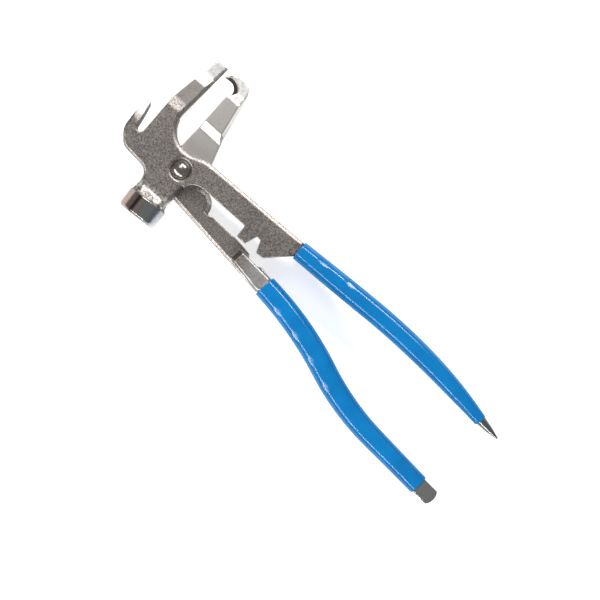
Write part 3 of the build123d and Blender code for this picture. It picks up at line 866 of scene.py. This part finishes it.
def blue_vinyl():
    """Glossy dipped vinyl."""
    made, tree, shader, place = blank("blue_vinyl", Metallic=0.0, Specular_IOR_Level=0.42)
    depth = add(tree, "ShaderNodeTexNoise", {"Vector": place, "Scale": 90.0, "Detail": 3.0})
    fine = add(tree, "ShaderNodeTexNoise", {"Vector": place, "Scale": 1100.0, "Detail": 2.0})
    share = remap(tree, depth.outputs["Fac"], 0.35, 0.65, 0.0, 1.0)
    tree.links.new(mix(tree, share, THICK_VINYL, THIN_VINYL), shader.inputs["Base Color"])
    tree.links.new(remap(tree, fine.outputs["Fac"], 0.3, 0.7, 0.14, 0.20), shader.inputs["Roughness"])
    bump = add(tree, "ShaderNodeBump", {"Distance": 0.00002, "Strength": 0.3, "Height": fine.outputs["Fac"]})
    tree.links.new(bump.outputs[0], shader.inputs["Normal"])
    return made


VINYL = blue_vinyl()
SLEEVE = sleeve_tree()


def volume_of(mesh):
    """Signed volume, which is negative when the faces look inward."""
    work = bmesh.new()
    work.from_mesh(mesh)
    amount = work.calc_volume(signed=True)
    work.free()
    return amount


def dip(name, body, line, stations, **dent):
    """One sleeve: sweep it, turn its faces outward and let it ride its lever."""
    guide = wire(name + "_line", line)
    sleeve = rail(name + "_sleeve", stations, WALL / 2)
    mesh = run_tree(sleeve, SLEEVE, Centreline=guide, Sides=56, Fullness=2.45, Finish=VINYL, **dent)
    if volume_of(mesh) < 0:
        mesh.flip_normals()
    mesh.polygons.foreach_set("use_smooth", np.ones(len(mesh.polygons), bool))
    bpy.data.objects.remove(guide)
    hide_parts(name)
    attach(sleeve, body)
    print(sleeve.name, len(mesh.polygons), "faces, volume", round(volume_of(mesh) * 1e9), "mm3")


dip("hammer_lever_grip", "hammer_lever", HAMMER_LINE, HAMMER_STATIONS, Dent_angle=1.13, Dent_pitch=17.0 * MM,
    Dent_depth=0.32 * MM, Dents_from=17.0 * MM, Dents_to=52.0 * MM)
dip("hook_lever_grip", "hook_lever", HOOK_LINE, HOOK_STATIONS, Dent_angle=2.05, Dent_pitch=15.0 * MM,
    Dent_depth=0.34 * MM, Dents_from=32.0 * MM, Dents_to=93.0 * MM)

# %% [markdown]
# ## The rivet
# The rivet's head is spun: a domed button with a shallow groove at its foot. A spun piece is one profile
# turned about an axis, so a few radii and heights give all of it, tail included.

# %% Spin the rivet
DOME_R, DOME_RISE = 5.08, 2.88
HEAD_LEVEL = 6.0       # the dome's foot, above the rivet's middle
RIVET_DARK = linear(138, 129, 122)
RIVET_PALE = linear(178, 171, 165)


def spin(name, profile, sides=96):
    """Turn a profile of (radius, height) points about the rivet's axis."""
    turn = np.linspace(0.0, 2 * math.pi, sides, endpoint=False)
    verts = [at(r * math.cos(a), r * math.sin(a), z) for r, z in profile[1:-1] for a in turn]
    rings = len(profile) - 2
    verts += [at(0, 0, profile[0][1]), at(0, 0, profile[-1][1])]
    low, high = len(verts) - 2, len(verts) - 1
    top = (rings - 1) * sides
    faces = []
    for i in range(sides):
        j = (i + 1) % sides
        faces.append((low, j, i))
        faces.append((high, top + i, top + j))
        faces += [(k + i, k + j, k + sides + j, k + sides + i) for k in range(0, top, sides)]
    mesh = bpy.data.meshes.new(name)
    mesh.from_pydata(verts, [], faces)
    mesh.polygons.foreach_set("use_smooth", np.ones(len(faces), bool))
    return show(name, mesh)


def rivet_profile():
    """Tail, shank and dome, from the back to the front."""
    tail = [(0.0, -8.14), (4.6, -8.14), (5.0, -8.08), (5.3, -7.9), (5.9, -7.3), (5.99, -7.1), (5.99, -6.75),
            (5.85, -6.6), (4.1, -6.56), (3.99, -6.5)]
    shank = [(3.99, -3.0), (3.99, 0.0), (3.99, 3.0), (3.99, 5.9), (4.1, 6.02), (4.9, 6.03)]
    ball = (DOME_R**2 + DOME_RISE**2) / (2 * DOME_RISE)
    middle = HEAD_LEVEL - ball * math.cos(math.asin(DOME_R / ball))
    rise = [math.radians(a) for a in np.linspace(58.0, 1.5, 24)]
    dome = [(ball * math.sin(a), middle + ball * math.cos(a)) for a in rise]
    dome = [point for point in dome if point[0] < 5.0]
    return tail + shank + [(5.06, 6.12)] + dome + [(0.0, middle + ball)]


def polished_rivet():
    """Dark polished steel, a little uneven from the rivet set."""
    made, tree, shader, place = blank("polished_rivet", Metallic=1.0)
    grain = add(tree, "ShaderNodeGroup", {}, node_tree=GRAIN)
    tree.links.new(place, grain.inputs["Vector"])
    grain.inputs["Grain scale"].default_value = 1200.0
    grain.inputs["Patch scale"].default_value = 260.0
    share = remap(tree, grain.outputs["Patches"], 0.35, 0.7, 0.0, 1.0)
    tree.links.new(mix(tree, share, RIVET_DARK, RIVET_PALE), shader.inputs["Base Color"])
    tree.links.new(remap(tree, grain.outputs["Tone"], 0.3, 0.7, 0.16, 0.28), shader.inputs["Roughness"])
    bump = add(tree, "ShaderNodeBump", {"Distance": 0.00003, "Strength": 0.3,
                                        "Height": grain.outputs["Height"]})
    tree.links.new(bump.outputs[0], shader.inputs["Normal"])
    return made


rivet = spin("pivot_rivet_spun", rivet_profile())
rivet.data.materials.append(polished_rivet())
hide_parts("pivot_rivet")
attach(rivet, "hammer_lever")
print(rivet.name, "volume", round(volume_of(rivet.data) * 1e9), "mm3")

# %% [markdown]
# ## Stage
# The floor is plain and pale, and glows for the camera only, so it looks white without lighting the
# tool. Two long soft lights stand beside the tool, one each side of the handles, so the sides of every
# bar shine while the flat faces, which mirror the darker sky above, stay deep. A third, small light
# beside the head brings up the ground tips and the claw.

# %% Floor, lights and camera
FLOOR_HALF, FLOOR_LEVEL = 6.0, -0.0002
FRAME_WIDTH = 0.300    # metres across the middle of the view
SIDE_GLOW = (0.12, 0.12, 0.12, 1.0)
CAMERA_GLOW = (0.66, 0.66, 0.66, 1.0)


def softbox(name, middle, aim, width, height, power):
    """A soft area light at a point, turned to face another."""
    light = bpy.data.lights.new(name, "AREA")
    light.shape = "RECTANGLE"
    light.size, light.size_y = width, height
    light.energy = power
    lamp = bpy.data.objects.new(name, light)
    lamp.location = middle
    lamp.rotation_euler = (Vector(aim) - Vector(middle)).to_track_quat("-Z", "Y").to_euler()
    bpy.context.scene.collection.objects.link(lamp)


floor_mesh = bpy.data.meshes.new("floor")
corners = [(-1, -1), (1, -1), (1, 1), (-1, 1)]
floor_mesh.from_pydata([(FLOOR_HALF * x, FLOOR_HALF * y, FLOOR_LEVEL) for x, y in corners], [],
                       [(0, 1, 2, 3)])
floor = show("floor", floor_mesh)
floor_paint, floor_tree, floor_shader, _ = blank("floor_paint", Roughness=0.9)
floor_shader.inputs["Base Color"].default_value = (0.9, 0.9, 0.9, 1.0)
seen = add(floor_tree, "ShaderNodeLightPath").outputs["Is Camera Ray"]
glow = mix(floor_tree, seen, SIDE_GLOW, CAMERA_GLOW)
floor_tree.links.new(glow, floor_shader.inputs["Emission Color"])
floor_shader.inputs["Emission Strength"].default_value = 1.0
floor_mesh.materials.append(floor_paint)

world = bpy.data.worlds.new("sky")
bpy.context.scene.world = world
world.use_nodes = True
sky = world.node_tree.nodes["Background"]
sky.inputs["Color"].default_value = (0.95, 0.97, 1.0, 1.0)
sky.inputs["Strength"].default_value = 0.26

softbox("low side light", at(110, -700, 560), at(110, 0, 0), 1.6, 0.08, 9.0)
softbox("high side light", at(-150, 640, 520), at(-20, 0, 0), 0.62, 0.10, 5.5)
softbox("head light", at(-330, 330, 700), at(-20, 10, 0), 0.34, 0.34, 1.4)

VIEW_MIDDLE = at(87.8, -1.4, 0)
VIEW_TURN = math.radians(46.6)
camera_data = bpy.data.cameras.new("camera")
camera_data.sensor_width = 36.0
camera_data.lens = 120.0
camera = bpy.data.objects.new("camera", camera_data)
camera.location = VIEW_MIDDLE + Vector((0, 0, FRAME_WIDTH * camera_data.lens / camera_data.sensor_width))
camera.rotation_euler = (0, 0, VIEW_TURN)
bpy.context.scene.collection.objects.link(camera)
bpy.context.scene.camera = camera
bpy.context.scene.view_settings.view_transform = "Standard"
print("camera at", [round(v, 3) for v in camera.location])
